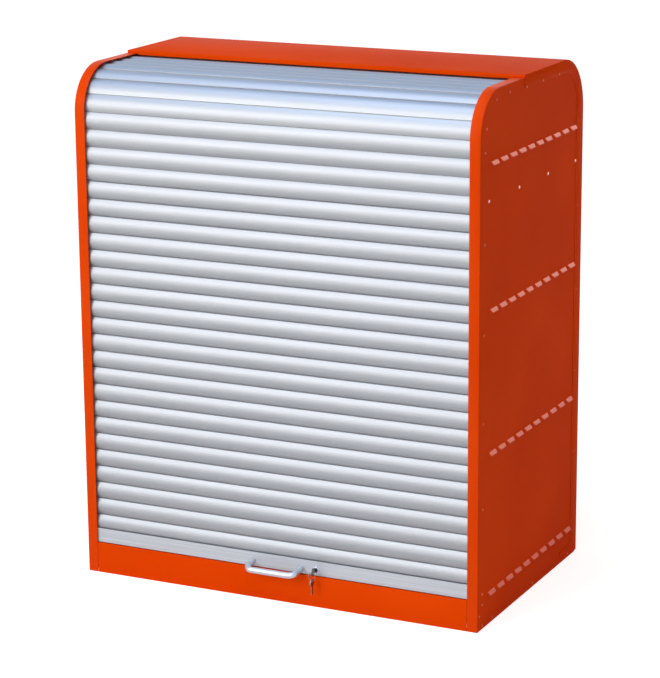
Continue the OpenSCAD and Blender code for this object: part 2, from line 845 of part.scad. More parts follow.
module lock_barrel() {
  color(steel) difference() {
    union() {
      at_lock(bar_face) cylinder(r1 = bezel_r, r2 = bezel_r - 1, h = bezel_t);
      at_lock(bar_back + barrel_tail) cylinder(r = lock_r, h = bar_d + barrel_tail + bezel_t / 2);
    }
    at_lock(bar_back + barrel_tail + 1) cylinder(r = plug_r + plug_gap, h = bar_d + barrel_tail + bezel_t + 2);
  }
}

module lock_nut() {
  color(zinc) difference() {
    at_lock(bar_back + nut_t + fit) cylinder(r = 12.7, h = nut_t, $fn = 6);
    at_lock(bar_back + nut_t + 1) cylinder(r = lock_r + fit, h = nut_t + 2);
  }
}

module lock_plug() {
  color(steel) difference() {
    union() {
      at_lock(cam_y - 0.1) cylinder(r = plug_r, h = cam_y - 0.1 - bar_face + bezel_t + 0.5);
      at_lock(cam_y + tail_l) cylinder(r = tail_r, h = tail_l + 1);
    }
    translate([lock_x - key_t / 2 - keyway_gap, bar_face - bezel_t - 2, lock_z - key_w / 2 - keyway_gap])
      cube([key_t + 2 * keyway_gap, key_l + 3, key_w + 2 * keyway_gap]);
    at_lock(cam_y + tail_l + 1) cylinder(r = 1.5 + fit, h = 6);
  }
}

// At rest the cam lies across, and a quarter turn of the key swings it down into the keeper slot
module lock_cam() {
  color(zinc) difference() {
    union() {
      at_lock(cam_y + cam_t) cylinder(r = cam_w / 2 + 1, h = cam_t);
      translate([lock_x - cam_l, cam_y, lock_z - cam_w / 2]) cube([cam_l, cam_t, cam_w]);
    }
    at_lock(cam_y + cam_t + 1) cylinder(r = tail_r + fit, h = cam_t + 2);
  }
}

module cam_screw() {
  color(zinc) {
    at_lock(cam_y + tail_l + 0.1 + 2) cylinder(r = 4.6, h = 2);
    at_lock(cam_y + tail_l + 1) cylinder(r = 1.5, h = 5);
  }
}

// Keys: a flat blade with cuts and a round bow with a hole
bow_r = 9;
bow_hole_r = 2.2;
bow_hole_out = 4.4;

module key_shape() {
  difference() {
    union() {
      circle(bow_r);
      translate([0, -key_w / 2]) square([bow_r + 3 + key_l, key_w]);
    }
    translate([-bow_r + bow_hole_out, 0]) circle(bow_hole_r);
    for (k = [0:3]) translate([bow_r + 8 + 3.6 * k, key_w / 2]) rotate(45) square(1.6, center = true);
  }
}

// The door key stands in the plug with its bow outside, the blade upright
bow_y = bar_face - bezel_t - 4 - bow_r;

module door_key() {
  color(silver) translate([lock_x - key_t / 2, bow_y, lock_z]) rotate([90, 0, 90])
    linear_extrude(key_t) key_shape();
}

// Ring through the hole of the bow, hanging down across the front
ring_r = 8.5;
wire_r = 0.8;
hole_y = bow_y - bow_r + bow_hole_out;
ring_top = lock_z - bow_hole_r + wire_r + run_gap;

module key_ring() {
  color(silver) translate([lock_x, hole_y, ring_top - ring_r]) rotate([90, 0, 0])
    rotate_extrude() translate([ring_r, 0]) circle(wire_r, $fn = 24);
}

// Spare key, hanging from the bottom of the ring
spare_hole_z = ring_top - 2 * ring_r - bow_hole_r + wire_r + run_gap;

module spare_key() {
  color(silver) translate([lock_x - key_t / 2, hole_y, spare_hole_z - bow_r + bow_hole_out])
    rotate([90, 0, 90]) linear_extrude(key_t) rotate(-90) key_shape();
}

side_panel_left();
side_panel_right();
edge_strip_left();
edge_strip_right();
plinth_panel();
top_rear_cover();
base_floor();
floor_rib();
sump_tray();
sump_floor();
sump_grate();
upright_front_left();
upright_front_right();
upright_rear_left();
upright_rear_right();
shelf_clips_low();
shelf_clips_high();
tray_shelf_low();
tray_shelf_high();
roll_box_floor();
roll_box_rivets();
guide_rail_left();
guide_rail_right();
slats_front();
slats_overhead();
suspension_straps();
roller_bracket_left();
roller_bracket_right();
roller_bush_left();
roller_bush_right();
bracket_bolts();
roller_tube();
roller_cap_left();
roller_cap_right();
bottom_bar();
bar_seal();
bar_end_glides();
pull_handle();
handle_screws();
lock_barrel();
lock_nut();
lock_plug();
lock_cam();
cam_screw();
door_key();
key_ring();
spare_key();
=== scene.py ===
"""Dresses the hazardous materials cabinet: finishes, edges, painted fixings, studio and camera."""

import logging
import math
from dataclasses import dataclass, field
from enum import Enum
from typing import Any, Sequence

import bmesh
import bpy
from mathutils import Matrix, Vector


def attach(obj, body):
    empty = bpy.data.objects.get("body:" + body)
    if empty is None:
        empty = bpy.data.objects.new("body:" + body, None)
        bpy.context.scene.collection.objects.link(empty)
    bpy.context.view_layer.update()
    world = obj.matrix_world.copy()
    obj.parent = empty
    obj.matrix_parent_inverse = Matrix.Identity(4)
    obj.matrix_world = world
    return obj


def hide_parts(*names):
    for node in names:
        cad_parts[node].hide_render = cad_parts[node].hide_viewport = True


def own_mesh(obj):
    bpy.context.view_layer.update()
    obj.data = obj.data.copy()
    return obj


logging.basicConfig(level=logging.INFO, format="%(message)s")
log = logging.getLogger("cabinet")
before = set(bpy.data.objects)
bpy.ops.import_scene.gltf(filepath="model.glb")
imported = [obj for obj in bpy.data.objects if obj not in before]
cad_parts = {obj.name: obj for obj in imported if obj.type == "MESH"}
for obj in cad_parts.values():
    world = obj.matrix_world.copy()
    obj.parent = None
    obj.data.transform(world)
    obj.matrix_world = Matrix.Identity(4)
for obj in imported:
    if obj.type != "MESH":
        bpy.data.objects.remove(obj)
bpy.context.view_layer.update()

Colour = tuple[float, float, float, float]
Point = tuple[float, float, float]

WHITE: Colour = (1, 1, 1, 1)
MERGE_MM = 0.01  # corners nearer than this are one
FLAT_DEG = 0.5  # faces that meet at less than this are one
FOLD_DEG = 32  # edges sharper than this are rounded
SLAT_CREASE_DEG = 35  # edges of a slat sharper than this stay sharp
SUNK_MM = 0.05  # how far a fixing head's rim sits in its sheet
TONE_MM = 260  # length over which a sheet's tone drifts


# ---------------------------------------------------------------- helpers


def linear(hex_code: str) -> Colour:
    """Turns an sRGB hex colour into linear RGBA.

    Args:
        hex_code: six hex digits, with or without a leading #.

    Returns:
        Red, green, blue and alpha, linear.
    """
    code = hex_code.lstrip("#")
    parts = [int(code[i : i + 2], 16) / 255 for i in (0, 2, 4)]
    r, g, b = (c / 12.92 if c <= 0.04045 else ((c + 0.055) / 1.055) ** 2.4 for c in parts)
    return (r, g, b, 1.0)


def mm(value: float) -> float:
    """Millimetres in metres."""
    return value / 1000


def add_node(tree: bpy.types.NodeTree, kind: str, settings: dict[str, Any] | None = None,
             **links: Any) -> bpy.types.Node:
    """Adds one node with its settings and links.

    Args:
        tree: the node tree it goes into.
        kind: the node's Blender type name.
        settings: node properties.
        links: input name with _ for a space, or _ and its number, to a value or an output socket.

    Returns:
        The new node.
    """
    node = tree.nodes.new(kind)
    for key, value in (settings or {}).items():
        setattr(node, key, value)
    for key, value in links.items():
        wanted = key.replace("_", " ")
        sockets = [s for s in node.inputs if s.name == wanted and s.enabled]
        socket = sockets[0] if sockets else node.inputs[int(key[1:])]
        if isinstance(value, bpy.types.NodeSocket):
            tree.links.new(value, socket)
        else:
            socket.default_value = value
    return node


def stand(name: str, data: bpy.types.ID) -> bpy.types.Object:
    """Makes an object of a mesh, curve, lamp or camera and links it into the scene.

    Args:
        name: the object's name.
        data: what it holds.

    Returns:
        The object, at the origin.
    """
    made = bpy.data.objects.new(name, data)
    bpy.context.scene.collection.objects.link(made)
    return made


def mesh_from(work: bmesh.types.BMesh, name: str) -> bpy.types.Mesh:
    """Turns a bmesh into a named mesh and frees it.

    Args:
        work: the bmesh.
        name: the mesh's name.

    Returns:
        The mesh.
    """
    mesh = bpy.data.meshes.new(name)
    work.to_mesh(mesh)
    work.free()
    return mesh


def baked_mesh(made: bpy.types.Object) -> bpy.types.Mesh:
    """Bakes an object with its modifiers, or a curve, to a plain mesh.

    Args:
        made: the object.

    Returns:
        The mesh as it looks with everything applied.
    """
    graph = bpy.context.evaluated_depsgraph_get()
    return bpy.data.meshes.new_from_object(made.evaluated_get(graph), depsgraph=graph)


def smooth(mesh: bpy.types.Mesh) -> None:
    """Shades every face of a mesh smooth."""
    for face in mesh.polygons:
        face.use_smooth = True


def merged_copy(node: str, name: str) -> bpy.types.Object:
    """Copies a CAD node's mesh with its doubles merged and its flat faces whole.

    Args:
        node: the CAD node.
        name: the new object's name.

    Returns:
        The copy, at the origin, not yet riding on a body.
    """
    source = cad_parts[node]
    mesh = source.data.copy()
    mesh.name = name
    mesh.transform(source.matrix_world)
    work = bmesh.new()
    work.from_mesh(mesh)
    bmesh.ops.remove_doubles(work, verts=work.verts, dist=mm(MERGE_MM))
    bmesh.ops.dissolve_limit(work, angle_limit=math.radians(FLAT_DEG), verts=work.verts, edges=work.edges)
    work.to_mesh(mesh)
    work.free()
    mesh.materials.clear()
    return stand(name, mesh)


def soften(made: bpy.types.Object, width_mm: float, segments: int = 2) -> None:
    """Rounds an object's sharp edges with a live Bevel modifier and smooth shading.

    Args:
        made: the object.
        width_mm: width of the rounding.
        segments: number of strips in the rounding.
    """
    smooth(made.data)
    bevel = made.modifiers.new("fold radius", "BEVEL")
    bevel.width = mm(width_mm)
    bevel.segments = segments
    bevel.limit_method = "ANGLE"
    bevel.angle_limit = math.radians(FOLD_DEG)
    bevel.harden_normals = True
    bevel.use_clamp_overlap = True


# ---------------------------------------------------------------- finishes


@dataclass(frozen=True)
class Finish:
    """A plain finish, and the base of the others."""

    name: str
    hex_code: str
    roughness: float
    metallic: float = 0.0

    def build(self) -> bpy.types.Material:
        """Makes the material, or returns it if it is already there.

        Returns:
            The material.
        """
        done = bpy.data.materials.get(self.name)
        if done:
            return done
        material = bpy.data.materials.new(self.name)
        material.use_nodes = True
        tree = material.node_tree
        tree.nodes.clear()
        out = add_node(tree, "ShaderNodeOutputMaterial")
        shader = add_node(tree, "ShaderNodeBsdfPrincipled", Roughness=self.roughness, Metallic=self.metallic,
                          Base_Color=linear(self.hex_code))
        tree.links.new(shader.outputs["BSDF"], out.inputs["Surface"])
        place = add_node(tree, "ShaderNodeTexCoord")
        self.dress(tree, shader, place.outputs["Object"])
        return material

    def dress(self, tree: bpy.types.NodeTree, shader: bpy.types.Node, place: bpy.types.NodeSocket) -> None:
        """Adds the finish's own pattern. The plain finish has none."""

    def mottle(self, tree: bpy.types.NodeTree, shader: bpy.types.Node, grain: bpy.types.NodeSocket,
               light: str, dark: str) -> None:
        """Runs the base colour between two tones.

        Args:
            tree: the material's tree.
            shader: its Principled node.
            grain: the factor, 0 to 1.
            light: hex colour at 1.
            dark: hex colour at 0.
        """
        ramp = add_node(tree, "ShaderNodeValToRGB", Fac=grain)
        for stop, position, code in zip(ramp.color_ramp.elements, (0.3, 0.7), (dark, light)):
            stop.position, stop.color = position, linear(code)
        tree.links.new(ramp.outputs["Color"], shader.inputs["Base Color"])

    def bump(self, tree: bpy.types.NodeTree, shader: bpy.types.Node, height: bpy.types.NodeSocket,
             depth_mm: float) -> None:
        """Raises the surface by a pattern.

        Args:
            tree: the material's tree.
            shader: its Principled node.
            height: the pattern, 0 to 1.
            depth_mm: height of the pattern at 1.
        """
        made = add_node(tree, "ShaderNodeBump", Distance=mm(depth_mm), Height=height)
        tree.links.new(made.outputs["Normal"], shader.inputs["Normal"])


@dataclass(frozen=True)
class PowderCoat(Finish):
    """Sprayed and baked polyester: an even, satin skin with a faint orange-peel ripple."""

    peel_mm: float = 2.6
    peel_deep_mm: float = 0.03
    light: str = "#F04A04"
    dark: str = "#E84300"
    gloss: float = 0.008

    def dress(self, tree: bpy.types.NodeTree, shader: bpy.types.Node, place: bpy.types.NodeSocket) -> None:
        """Adds the ripple and a soft change of tone over the sheet."""
        peel = add_node(tree, "ShaderNodeTexNoise", Vector=place, Scale=1 / mm(self.peel_mm), Detail=1.0)
        tone = add_node(tree, "ShaderNodeTexNoise", Vector=place, Scale=1 / mm(TONE_MM), Detail=2.0)
        self.mottle(tree, shader, tone.outputs["Fac"], self.light, self.dark)
        self.bump(tree, shader, peel.outputs["Fac"], self.peel_deep_mm)
        shader.inputs["Specular IOR Level"].default_value = self.gloss


@dataclass(frozen=True)
class DrawnAluminium(Finish):
    """Anodised aluminium profile: satin, with fine die lines along its length (X)."""

    line_mm: float = 0.9
    line_deep_mm: float = 0.012
    stretch: float = 0.004  # width of a line over its length
    light: str = "#E9ECF2"
    dark: str = "#D9DDE5"

    def dress(self, tree: bpy.types.NodeTree, shader: bpy.types.Node, place: bpy.types.NodeSocket) -> None:
        """Adds the die lines, far longer than they are wide, and a slow drift of tone."""
        stretch = add_node(tree, "ShaderNodeMapping", Vector=place, Scale=(self.stretch, 1, 1))
        lines = add_node(tree, "ShaderNodeTexNoise", Vector=stretch.outputs["Vector"], Scale=1 / mm(self.line_mm),
                         Detail=2.0)
        self.mottle(tree, shader, lines.outputs["Fac"], self.light, self.dark)
        self.bump(tree, shader, lines.outputs["Fac"], self.line_deep_mm)


@dataclass(frozen=True)
class GalvanisedSheet(Finish):
    """Hot-dip zinc on steel sheet: dull grey with crystal spangle about a centimetre across."""

    spangle_mm: float = 11.0
    spangle_deep_mm: float = 0.05
    light: str = "#C2C7CC"
    dark: str = "#A4A9AF"

    def dress(self, tree: bpy.types.NodeTree, shader: bpy.types.Node, place: bpy.types.NodeSocket) -> None:
        """Adds the spangle as flat cells of slightly different greys."""
        cells = add_node(tree, "ShaderNodeTexVoronoi", Vector=place, Scale=1 / mm(self.spangle_mm))
        grey = add_node(tree, "ShaderNodeSeparateColor", Color=cells.outputs["Color"])
        self.mottle(tree, shader, grey.outputs["Red"], self.light, self.dark)
        self.bump(tree, shader, cells.outputs["Distance"], self.spangle_deep_mm)


@dataclass(frozen=True)
class PlatedSteel(Finish):
    """Electroplated steel: smooth, with a faint cloudiness from the bath."""

    cloud_mm: float = 14.0
    light: str = "#D6DADF"
    dark: str = "#B9BEC4"

    def dress(self, tree: bpy.types.NodeTree, shader: bpy.types.Node, place: bpy.types.NodeSocket) -> None:
        """Adds the cloudiness."""
        cloud = add_node(tree, "ShaderNodeTexNoise", Vector=place, Scale=1 / mm(self.cloud_mm), Detail=3.0)
        self.mottle(tree, shader, cloud.outputs["Fac"], self.light, self.dark)


@dataclass(frozen=True)
class MouldedPlastic(Finish):
    """Injection-moulded polyamide or rubber: near black, with a spark-eroded grain."""

    grain_mm: float = 0.8
    grain_deep_mm: float = 0.03
    light: str = "#232325"

    def dress(self, tree: bpy.types.NodeTree, shader: bpy.types.Node, place: bpy.types.NodeSocket) -> None:
        """Adds the grain."""
        grain = add_node(tree, "ShaderNodeTexNoise", Vector=place, Scale=1 / mm(self.grain_mm), Detail=2.0)
        self.mottle(tree, shader, grain.outputs["Fac"], self.light, self.hex_code)
        self.bump(tree, shader, grain.outputs["Fac"], self.grain_deep_mm)


ORANGE = PowderCoat("orange powder coat", "#E84300", 0.42)
ORANGE_FOLDED = PowderCoat("orange powder coat, folded strips", "#E84300", 0.36, gloss=0.04)
ORANGE_PRESSED = PowderCoat("orange powder coat, pressed edges", "#E84300", 0.3, gloss=0.28)
# The rolled edge's orange is lighter than the sheets': a painted highlight along the cover's flange edge.
ORANGE_ROLLED_PAINTED_HIGHLIGHT = PowderCoat("orange powder coat, rolled edge", "#F25A1E", 0.4, light="#F45E22", dark="#F0561A",
                           gloss=0.06)
# The fixing heads' orange is lighter than the sheets': a painted highlight on each head.
ORANGE_HEAD_PAINTED_HIGHLIGHT = PowderCoat("orange powder coat, fixing heads", "#F07850", 0.35, light="#F07C54", dark="#EC744C",
                         gloss=0.4)
# The inside orange is darker than the sheets': painted shade on the floors inside the cabinet and the roll box.
ORANGE_PAINTED_SHADE_INSIDE = PowderCoat("orange powder coat, inside, darkened as painted shade", "#D03C02", 0.5, light="#D84204", dark="#C93A02")
SLAT = DrawnAluminium("anodised aluminium slat", "#B0B2B5", 0.54, 1.0, light="#B4B6B9", dark="#ABADB0")
BAR = DrawnAluminium("anodised aluminium bar", "#C4C7CB", 0.62, 1.0, line_mm=1.6, light="#CDD0D4", dark="#B9BCC0")
BOW = DrawnAluminium("satin aluminium bow", "#CDD1D6", 0.36, 1.0, light="#D6DADF", dark="#C4C8CE")
GALVANISED = GalvanisedSheet("galvanised steel sheet", "#B4B9BE", 0.45, 1.0)
RAIL = GalvanisedSheet("galvanised steel rail", "#B4B9BE", 0.5, 0.5)
ZINC = PlatedSteel("zinc-plated steel", "#C9CDD2", 0.32, 1.0)
SPRING_STEEL = PlatedSteel("blued spring steel", "#8C9098", 0.35, 1.0, light="#9A9EA6", dark="#7E828A")
# The rivets' peach tint is a painted reflection of the orange sheets around them on bright metal.
RIVET_PAINTED_REFLECTION = PlatedSteel("bright rivet, peach tint as painted reflection", "#F4CCBC", 0.5, 1.0, light="#F8D2C2", dark="#EEC4B4")
# The keys' nickel is darker than plate: painted shade for their dark reflections.
NICKEL_PAINTED_SHADE = PlatedSteel("nickel plate, darkened as painted shade", "#8C8884", 0.34, 1.0, light="#98948F", dark="#7C7874")
# The lock plug's nickel is dark: a painted reflection of dark surroundings in the lock's centre.
PLUG_PAINTED_REFLECTION = PlatedSteel("nickel plug, darkened as painted reflection", "#5C6066", 0.3, 1.0, light="#666A70", dark="#505458")
CHROME = PlatedSteel("bright chrome plate", "#E2E4E8", 0.12, 1.0, light="#E8EAEE", dark="#DADCE0")
BLACK_PLASTIC = MouldedPlastic("black polyamide", "#161618", 0.5)
RUBBER = MouldedPlastic("black seal rubber", "#121213", 0.75)


def paint(made: bpy.types.Object, finish: Finish) -> bpy.types.Object:
    """Gives every face of an object one finish.

    Args:
        made: the object.
        finish: its finish.

    Returns:
        The same object.
    """
    made.data.materials.clear()
    made.data.materials.append(finish.build())
    return made


# ---------------------------------------------------------------- repeats by geometry nodes


def repeat_along(shape: bpy.types.Object, spots: Sequence[tuple[Vector, Vector]], finish: Finish,
                 name: str) -> bpy.types.Object:
    """Puts a shape at many spots with a Geometry Nodes tree and bakes the result to a plain mesh.

    Args:
        shape: the shape, its foot on z = 0 and its head along +Z.
        spots: place and outward direction of each copy, in metres.
        finish: the finish of every copy.
        name: the baked object's name.

    Returns:
        The baked object, at the origin.
    """
    mesh = bpy.data.meshes.new(name + " spots")
    mesh.from_pydata([tuple(p) for p, _ in spots], [], [])
    outward = mesh.attributes.new("outward", "FLOAT_VECTOR", "POINT")
    for item, (_, direction) in zip(outward.data, spots):
        item.vector = direction
    carrier = stand(name, mesh)

    tree = bpy.data.node_groups.new(name + " tree", "GeometryNodeTree")
    tree.interface.new_socket("Geometry", in_out="INPUT", socket_type="NodeSocketGeometry")
    tree.interface.new_socket("Geometry", in_out="OUTPUT", socket_type="NodeSocketGeometry")
    sized = tree.interface.new_socket("Size", in_out="INPUT", socket_type="NodeSocketFloat")
    held = tree.interface.new_socket("Shape", in_out="INPUT", socket_type="NodeSocketObject")
    dressed = tree.interface.new_socket("Finish", in_out="INPUT", socket_type="NodeSocketMaterial")
    start = add_node(tree, "NodeGroupInput")
    ways = add_node(tree, "GeometryNodeInputNamedAttribute", {"data_type": "FLOAT_VECTOR"}, Name="outward")
    turn = add_node(tree, "FunctionNodeAlignRotationToVector", {"axis": "Z"}, Vector=ways.outputs["Attribute"])
    info = add_node(tree, "GeometryNodeObjectInfo", Object=start.outputs["Shape"])
    copies = add_node(tree, "GeometryNodeInstanceOnPoints", Points=start.outputs["Geometry"],
                      Instance=info.outputs["Geometry"], Rotation=turn.outputs["Rotation"],
                      Scale=start.outputs["Size"])
    real = add_node(tree, "GeometryNodeRealizeInstances", Geometry=copies.outputs["Instances"])
    coat = add_node(tree, "GeometryNodeSetMaterial", Geometry=real.outputs["Geometry"],
                    Material=start.outputs["Finish"])
    end = add_node(tree, "NodeGroupOutput")
    tree.links.new(coat.outputs["Geometry"], end.inputs["Geometry"])

    live = carrier.modifiers.new(name, "NODES")
    live.node_group = tree
    live[sized.identifier] = 1.0
    live[held.identifier] = shape
    live[dressed.identifier] = finish.build()
    baked = baked_mesh(carrier)
    carrier.modifiers.remove(live)
    carrier.data = baked
    baked.name = name
    bpy.data.objects.remove(shape)
    return carrier


def domed_head(radius_mm: float, rise_mm: float, rings: int = 4, sides: int = 16) -> bpy.types.Object:
    """Makes a shallow domed fixing head, its rim just under z = 0.

    Args:
        radius_mm: radius of the rim.
        rise_mm: height of the crown.
        rings: rings of faces from rim to crown.
        sides: faces round it.

    Returns:
        The head, for repeat_along.
    """
    work = bmesh.new()
    rows = []
    for k in range(rings):
        a = math.pi / 2 * k / rings
        r, z = mm(radius_mm) * math.cos(a), mm(rise_mm) * math.sin(a) - mm(SUNK_MM)
        rows.append([work.verts.new((r * math.cos(t), r * math.sin(t), z))
                     for t in (2 * math.pi * s / sides for s in range(sides))])
    crown = work.verts.new((0, 0, mm(rise_mm - SUNK_MM)))
    for low, high in zip(rows, rows[1:]):
        for s in range(sides):
            work.faces.new((low[s], low[(s + 1) % sides], high[(s + 1) % sides], high[s]))
    for s in range(sides):
        work.faces.new((rows[-1][s], rows[-1][(s + 1) % sides], crown))
    work.faces.new(list(reversed(rows[0])))
    for face in work.faces:
        face.smooth = len(face.verts) < 5
    return stand("head", mesh_from(work, "head"))


def bead_along(paths: Sequence[Sequence[Point]], radius_mm: float, finish: Finish, name: str) -> bpy.types.Object:
    """Runs a thin round bead along polylines, as the rolled edge of a sheet.

    Args:
        paths: the polylines, in metres.
        radius_mm: radius of the bead.
        finish: its finish.
        name: the piece's name.

    Returns:
        The bead, a plain mesh at the origin.
    """
    curve = bpy.data.curves.new(name, "CURVE")
    curve.dimensions, curve.bevel_depth, curve.bevel_resolution, curve.use_fill_caps = "3D", mm(radius_mm), 1, True
    for path in paths:
        line = curve.splines.new("POLY")
        line.points.add(len(path) - 1)
        for point, place in zip(line.points, path):
            point.co = (*place, 1.0)
    drawn = stand(name + "_path", curve)
    mesh = baked_mesh(drawn)
    mesh.name = name
    bpy.data.objects.remove(drawn)
    smooth(mesh)
    return paint(stand(name, mesh), finish)


@dataclass(frozen=True)
class LouvreHood:
    """The pressed hood of one louvre: a flat sloping face, a lip and two cheeks."""

    length: float = mm(37)
    height: float = mm(9)
    out: float = mm(6)
    lip: float = mm(2)
    taper: float = mm(3)
    sheet: float = mm(0.5)
    sunk: float = mm(0.2)

    def build(self, side: int) -> bpy.types.Object:
        """Makes one hood with its length along Y and its lip towards +Z.

        Args:
            side: 1 for the right-hand panel, -1 for the left-hand one.

        Returns:
            The hood, for repeat_along.
        """
        half, near = self.length / 2, self.length / 2 - self.taper
        rows = ((self.height, half, -self.sunk), (self.lip, near, self.out), (0.0, near, self.out),
                (0.0, half, -self.sunk))
        work = bmesh.new()
        top, crease, foot, root = ([work.verts.new((-side * z, y, x)) for y in (-wide, wide)]
                                   for z, wide, x in rows)
        for corners in ((top[0], crease[0], crease[1], top[1]), (crease[0], foot[0], foot[1], crease[1]),
                        (top[0], root[0], foot[0], crease[0]), (top[1], crease[1], foot[1], root[1])):
            work.faces.new(corners)
        bmesh.ops.recalc_face_normals(work, faces=work.faces)
        work.normal_update()
        if next(iter(work.faces)).normal.z < 0:
            bmesh.ops.reverse_faces(work, faces=work.faces)
        made = stand("hood", mesh_from(work, "hood"))
        sheet = made.modifiers.new("sheet", "SOLIDIFY")
        sheet.thickness, sheet.offset = self.sheet, -1.0
        made.data = baked_mesh(made)
        made.modifiers.clear()
        return made


# ---------------------------------------------------------------- sub-assemblies


class Body(Enum):
    """The bodies that the pieces ride on."""

    CABINET = "cabinet"
    ROLLER = "roller"
    BAR = "shutter_bar"
    LOCK = "lock"
    KEY = "key"
    RING = "ring"
    SPARE = "spare"


@dataclass
class SubAssembly:
    """A group of CAD nodes on one body, with the finish and the edge rounding of each."""

    name: str
    body: Body
    finishes: dict[str, Finish]
    edge_mm: dict[str, float] = field(default_factory=dict)
    swell_mm: dict[str, float] = field(default_factory=dict)

    def dress(self) -> None:
        """Paints each node, or stands a copy with rounded edges in its place."""
        for node, finish in self.finishes.items():
            width = self.edge_mm.get(node, 0.0)
            if width:
                made = paint(merged_copy(node, node + "_rounded"), finish)
                if node in self.swell_mm:
                    swell = made.modifiers.new("swell", "DISPLACE")
                    swell.strength, swell.mid_level = mm(self.swell_mm[node]), 0.0
                soften(made, width)
                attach(made, self.body.value)
                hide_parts(node)
            else:
                paint(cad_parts[node], finish)
        log.info("%s: %d nodes", self.name, len(self.finishes))


@dataclass
class Shell(SubAssembly):
    """Side panels, folded edge strips, plinth, cover and floor, with the painted weld and rivet heads."""

    half_w: float = mm(499)
    front_y: float = mm(-305)
    cover_sheet: float = mm(1)
    head_mm: float = 3.0
    rise_mm: float = 1.5
    bead_mm: float = 0.9
    # free edge of the cover's flange: X, then Y and Z of each corner
    bead_x: float = mm(499.8)
    bead_corners: tuple[tuple[float, float], ...] = ((205, 11), (205, 30), (272, 30), (272, 1090))
    # front edge, corner arc and foot of each side panel: Y from the front face, Z from the floor
    side_heads: tuple[tuple[float, float], ...] = (
        (27, 82.7), (27, 279), (27, 475), (27, 674), (27, 874), (27, 1073), (34.6, 1124), (88.8, 1179),
        (162.7, 1184.5), (27, 57.5), (11.5, 34.7), (85, 9.4), (29, 8.3), (330, 9.4), (560, 9.4))
    rear_heads: tuple[tuple[float, float], ...] = (
        (588, 60), (588, 258), (588, 458), (588, 657), (588, 857), (588, 1056))
    cover_heads: tuple[tuple[float, float], ...] = ((258.6, 1182), (357, 1182), (457, 1182))
    # louvres: first and step along Y from the front face, lowest and step up, how many each way
    louvre_y: tuple[float, float, int] = (79, 52.5, 10)
    louvre_z: tuple[float, float, int] = (67.5, 324.5, 4)

    def hoods(self, side: int, name: str) -> bpy.types.Object:
        """Builds the hoods of one side panel's louvres.

        Args:
            side: 1 for the right-hand panel, -1 for the left-hand one.
            name: the piece's name.

        Returns:
            The baked piece.
        """
        first, step, count = self.louvre_y
        low, rise, rows = self.louvre_z
        spots = [(Vector((side * self.half_w, self.front_y + mm(first + k * step), mm(low + row * rise))),
                  Vector((side, 0, 0))) for row in range(rows) for k in range(count)]
        return repeat_along(LouvreHood().build(side), spots, ORANGE_PRESSED, name)

    def heads(self) -> bpy.types.Object:
        """Builds the powder-coated heads on both side panels; their lighter orange is a painted highlight.

        Returns:
            The baked piece.
        """
        spots = []
        for side in (-1, 1):
            for y, z in self.side_heads + self.rear_heads:
                spots.append((Vector((side * self.half_w, self.front_y + mm(y), mm(z))), Vector((side, 0, 0))))
            for y, z in self.cover_heads:
                spots.append((Vector((side * (self.half_w + self.cover_sheet), self.front_y + mm(y), mm(z))),
                              Vector((side, 0, 0))))
        return repeat_along(domed_head(self.head_mm, self.rise_mm), spots, ORANGE_HEAD_PAINTED_HIGHLIGHT, "painted_heads")

    def cover_edges(self) -> bpy.types.Object:
        """Rolls the free edge of the cover's side flanges, round the foot tab and up the rear.

        Returns:
            The bead on both sides.
        """
        sides = [[(side * self.bead_x, mm(y), mm(z)) for y, z in self.bead_corners] for side in (-1, 1)]
        # The bead's lighter orange is a painted highlight.
        return bead_along(sides, self.bead_mm, ORANGE_ROLLED_PAINTED_HIGHLIGHT, "cover_flange_edges")

    def dress(self) -> None:
        """Dresses the sheets and adds the heads, the louvre hoods and the cover's rolled edges."""
        super().dress()
        for made in (self.heads(), self.hoods(1, "louvre_hoods_right"), self.hoods(-1, "louvre_hoods_left"),
                     self.cover_edges()):
            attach(made, self.body.value)
            log.info("%s: %d faces", made.name, len(made.data.polygons))


@dataclass
class Curtain(SubAssembly):
    """The slats below the roll box, in the doorway."""

    pitch: float = mm(40)
    count: int = 22
    head_z: float = mm(987.4)
    gathered: float = 0.0012

    def one_slat(self) -> bpy.types.Object:
        """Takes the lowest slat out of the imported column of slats.

        Returns:
            One slat, at its own place.
        """
        made = merged_copy("slats_front", "slat")
        work = bmesh.new()
        work.from_mesh(made.data)
        work.verts.ensure_lookup_table()
        lowest = min(work.verts, key=lambda v: v.co.z)
        part, edge = {lowest}, [lowest]
        while edge:
            edge = [w for v in edge for e in v.link_edges for w in e.verts if w not in part]
            part.update(edge)
        bmesh.ops.delete(work, geom=[v for v in work.verts if v not in part], context="VERTS")
        work.to_mesh(made.data)
        work.free()
        smooth(made.data)
        made.data.set_sharp_from_angle(angle=math.radians(SLAT_CREASE_DEG))
        return made

    def dress(self) -> None:
        """Repeats one slat up the doorway."""
        super().dress()
        spots = [(Vector((0, 0, k * self.pitch)), Vector((0, 0, 1))) for k in range(self.count)]
        made = repeat_along(self.one_slat(), spots, SLAT, "doorway_slats")
        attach(made, self.body.value)
        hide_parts("slats_front")
        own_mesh(made)
        log.info("slats in the doorway: %d slats, %d faces", self.count, len(made.data.polygons))


